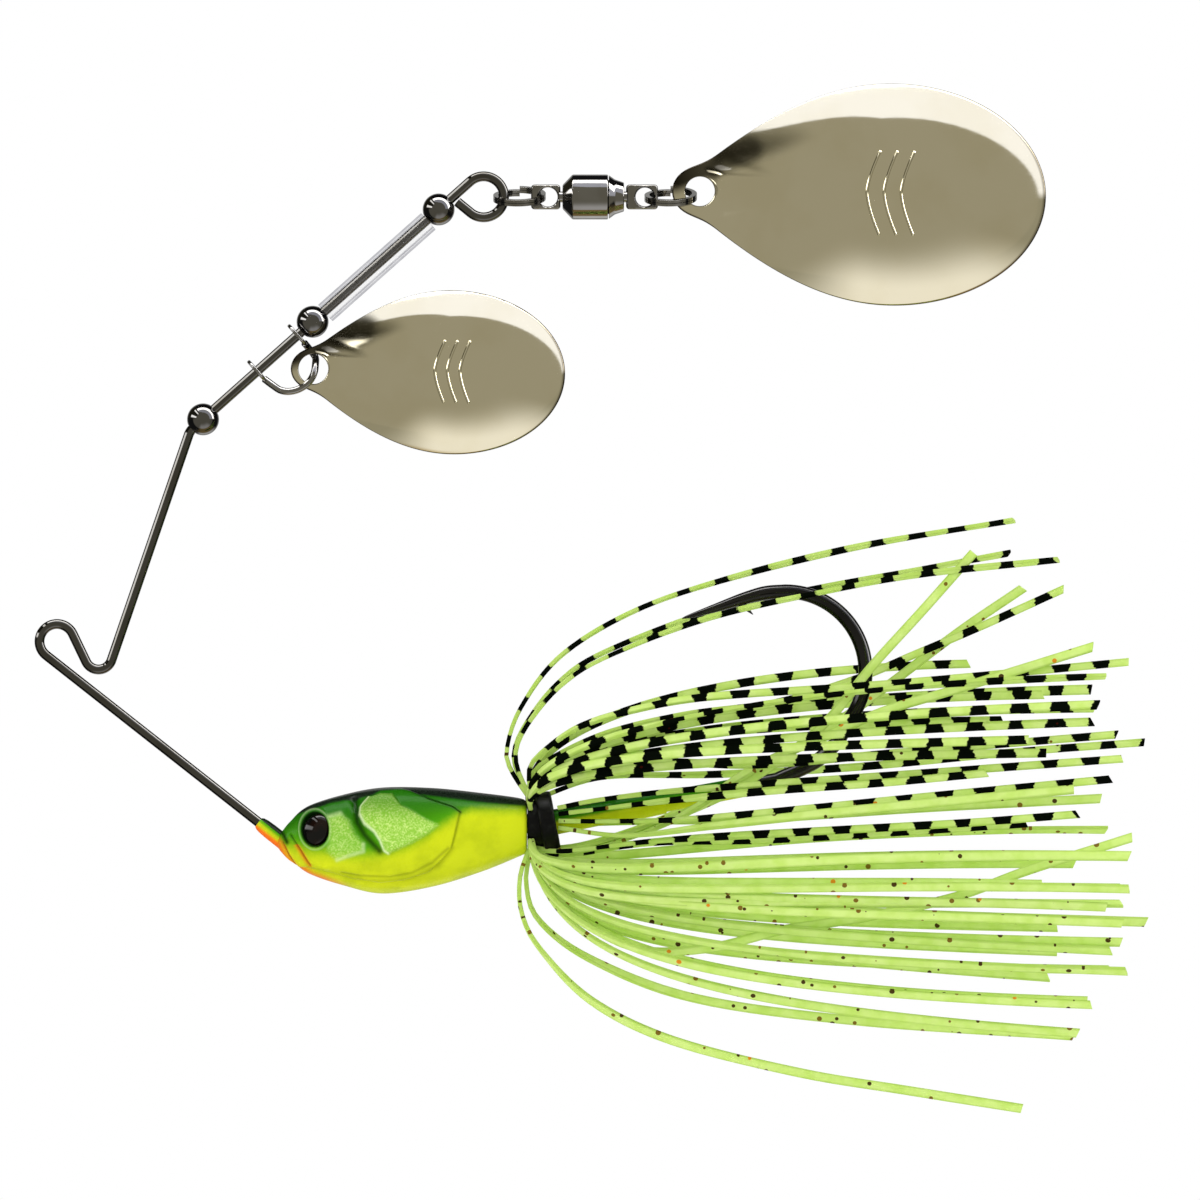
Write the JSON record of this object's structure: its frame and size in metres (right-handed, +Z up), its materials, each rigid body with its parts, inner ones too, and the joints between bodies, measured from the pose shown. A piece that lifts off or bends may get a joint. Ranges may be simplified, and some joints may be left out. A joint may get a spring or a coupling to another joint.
{
  "type": "spinnerbait",
  "caption": "Fishing spinnerbait: bent wire frame with a painted minnow head, hook and silicone skirt below, and a clevis blade and a swivel blade above.",
  "frame": {"origin": "centre of the line-tie bend, on the wire's middle plane", "axes": "+X towards the tail and the blades' free ends, +Y to the far side of the lure when its nose points left, +Z up with the blades above the hook"},
  "size_m": [0.1099, 0.0288, 0.1023],
  "materials": {
    "black_nickel": "black nickel plated steel, glossy",
    "nickel": "bright nickel plate",
    "pale_gold": "polished pale gold plate over brass, fine lengthwise grain",
    "clear_tube": "clear soft vinyl tube",
    "head_paint": "glossy enamel on lead, near black back over green sides and a chartreuse belly",
    "eye_gloss": "glossy black dome",
    "skirt_silicone": "translucent chartreuse silicone with black bars on the upper strands and dark red flakes",
    "collar_rubber": "black rubber band"
  },
  "bodies": {
    "frame": {"wire_frame": "black_nickel", "head": "head_paint", "eye_left": "eye_gloss", "eye_right": "eye_gloss", "hook": "black_nickel", "skirt_collar": "collar_rubber"},
    "bead_lower": {"bead_lower": "nickel"},
    "bead_middle": {"bead_middle": "nickel"},
    "bead_upper": {"bead_upper": "nickel"},
    "sleeve": {"clear_sleeve": "clear_tube"},
    "clevis": {"clevis": "black_nickel"},
    "small_blade": {"small_blade": "pale_gold"},
    "ring_front": {"ring_front": "nickel"},
    "swivel_front_eye": {"swivel_front_eye": "nickel"},
    "swivel_barrel": {"swivel_barrel": "nickel", "swivel_end_cap": "nickel"},
    "bearing_balls": {"bearing_ball_1": "nickel", "bearing_ball_2": "nickel", "bearing_ball_3": "nickel", "bearing_ball_4": "nickel", "bearing_ball_5": "nickel", "bearing_ball_6": "nickel"},
    "swivel_rear_eye": {"swivel_rear_eye": "nickel"},
    "ring_rear": {"ring_rear": "nickel"},
    "large_blade": {"large_blade": "pale_gold"},
    "skirt_1": {"skirt_sector_1": "skirt_silicone"},
    "skirt_2": {"skirt_sector_2": "skirt_silicone"},
    "skirt_3": {"skirt_sector_3": "skirt_silicone"},
    "skirt_4": {"skirt_sector_4": "skirt_silicone"},
    "skirt_5": {"skirt_sector_5": "skirt_silicone"},
    "skirt_6": {"skirt_sector_6": "skirt_silicone"},
    "skirt_7": {"skirt_sector_7": "skirt_silicone"},
    "skirt_8": {"skirt_sector_8": "skirt_silicone"}
  },
  "joints": [
    {"name": "bead_lower_slide", "type": "slide", "parent": "frame", "child": "bead_lower", "axis": [0.7466, 0, 0.6652], "range_m": [0, 0.0054]},
    {"name": "bead_middle_spin", "type": "hinge", "parent": "frame", "child": "bead_middle", "pos_m": [0.02556, 0, 0.03197], "axis": [0.7466, 0, 0.6652], "continuous": true},
    {"name": "bead_upper_spin", "type": "hinge", "parent": "frame", "child": "bead_upper", "pos_m": [0.03816, 0, 0.0432], "axis": [0.7466, 0, 0.6652], "continuous": true},
    {"name": "sleeve_spin", "type": "hinge", "parent": "frame", "child": "sleeve", "pos_m": [0.03199, 0, 0.03743], "axis": [0.7466, 0, 0.6652], "continuous": true},
    {"name": "clevis_spin", "type": "hinge", "parent": "frame", "child": "clevis", "pos_m": [0.02002, 0, 0.02704], "axis": [0.7466, 0, 0.6652], "continuous": true},
    {"name": "small_blade_swing", "type": "hinge", "parent": "clevis", "child": "small_blade", "pos_m": [0.02565, 0, 0.02725], "axis": [0, 1, 0], "range_deg": [-12, 32]},
    {"name": "ring_front_swing", "type": "hinge", "parent": "frame", "child": "ring_front", "pos_m": [0.04266, 0, 0.04447], "axis": [0, 1, 0], "range_deg": [-75, 14]},
    {"name": "front_eye_swing", "type": "hinge", "parent": "ring_front", "child": "swivel_front_eye", "pos_m": [0.04625, 0, 0.04445], "axis": [0, -0.2924, 0.9563], "range_deg": [-55, 55]},
    {"name": "barrel_spin", "type": "hinge", "parent": "swivel_front_eye", "child": "swivel_barrel", "pos_m": [0.0528, 0, 0.04445], "axis": [1, 0, 0], "continuous": true},
    {"name": "rear_eye_spin", "type": "hinge", "parent": "swivel_barrel", "child": "swivel_rear_eye", "pos_m": [0.05345, 0, 0.04445], "axis": [1, 0, 0], "continuous": true},
    {"name": "ball_orbit", "type": "hinge", "parent": "swivel_barrel", "child": "bearing_balls", "pos_m": [0.05418, 0, 0.04445], "axis": [1, 0, 0], "continuous": true},
    {"name": "ring_rear_swing", "type": "hinge", "parent": "swivel_rear_eye", "child": "ring_rear", "pos_m": [0.0588, 0, 0.04445], "axis": [0, 1, 0], "range_deg": [-60, 9]},
    {"name": "large_blade_swing", "type": "hinge", "parent": "ring_rear", "child": "large_blade", "pos_m": [0.06137, 0, 0.04445], "axis": [0, -0.2924, 0.9563], "range_deg": [-60, 60]},
    {"name": "skirt_flare", "type": "hinge", "parent": "frame", "child": "skirt_1", "pos_m": [0.04756, 0.00076, -0.01646], "axis": [-0.0697, -0.9239, 0.3763], "range_deg": [0, 5], "stiffness_Nm_per_rad": 0.003},
    {"name": "skirt_flare_2", "type": "hinge", "parent": "frame", "child": "skirt_2", "pos_m": [0.04776, 0.00185, -0.01753], "axis": [-0.1684, -0.3827, 0.9084], "range_deg": [0, 5], "stiffness_Nm_per_rad": 0.003},
    {"name": "skirt_flare_3", "type": "hinge", "parent": "frame", "child": "skirt_3", "pos_m": [0.04804, 0.00185, -0.01903], "axis": [-0.1684, 0.3827, 0.9084], "range_deg": [0, 5], "stiffness_Nm_per_rad": 0.003},
    {"name": "skirt_flare_4", "type": "hinge", "parent": "frame", "child": "skirt_4", "pos_m": [0.04824, 0.00076, -0.0201], "axis": [-0.0697, 0.9239, 0.3763], "range_deg": [0, 5], "stiffness_Nm_per_rad": 0.003},
    {"name": "skirt_flare_5", "type": "hinge", "parent": "frame", "child": "skirt_5", "pos_m": [0.04824, -0.00076, -0.0201], "axis": [0.0697, 0.9239, -0.3763], "range_deg": [0, 5], "stiffness_Nm_per_rad": 0.003},
    {"name": "skirt_flare_6", "type": "hinge", "parent": "frame", "child": "skirt_6", "pos_m": [0.04804, -0.00185, -0.01903], "axis": [0.1684, 0.3827, -0.9084], "range_deg": [0, 5], "stiffness_Nm_per_rad": 0.003},
    {"name": "skirt_flare_7", "type": "hinge", "parent": "frame", "child": "skirt_7", "pos_m": [0.04776, -0.00185, -0.01753], "axis": [0.1684, -0.3827, -0.9084], "range_deg": [0, 5], "stiffness_Nm_per_rad": 0.003},
    {"name": "skirt_flare_8", "type": "hinge", "parent": "frame", "child": "skirt_8", "pos_m": [0.04756, -0.00076, -0.01646], "axis": [0.0697, -0.9239, -0.3763], "range_deg": [0, 5], "stiffness_Nm_per_rad": 0.003}
  ],
  "couplings": [
    {"joint": "ball_orbit", "follows": "rear_eye_spin", "ratio": 0.5},
    {"joint": "skirt_flare_2", "follows": "skirt_flare", "ratio": 1},
    {"joint": "skirt_flare_3", "follows": "skirt_flare", "ratio": 1},
    {"joint": "skirt_flare_4", "follows": "skirt_flare", "ratio": 1},
    {"joint": "skirt_flare_5", "follows": "skirt_flare", "ratio": 1},
    {"joint": "skirt_flare_6", "follows": "skirt_flare", "ratio": 1},
    {"joint": "skirt_flare_7", "follows": "skirt_flare", "ratio": 1},
    {"joint": "skirt_flare_8", "follows": "skirt_flare", "ratio": 1}
  ]
}
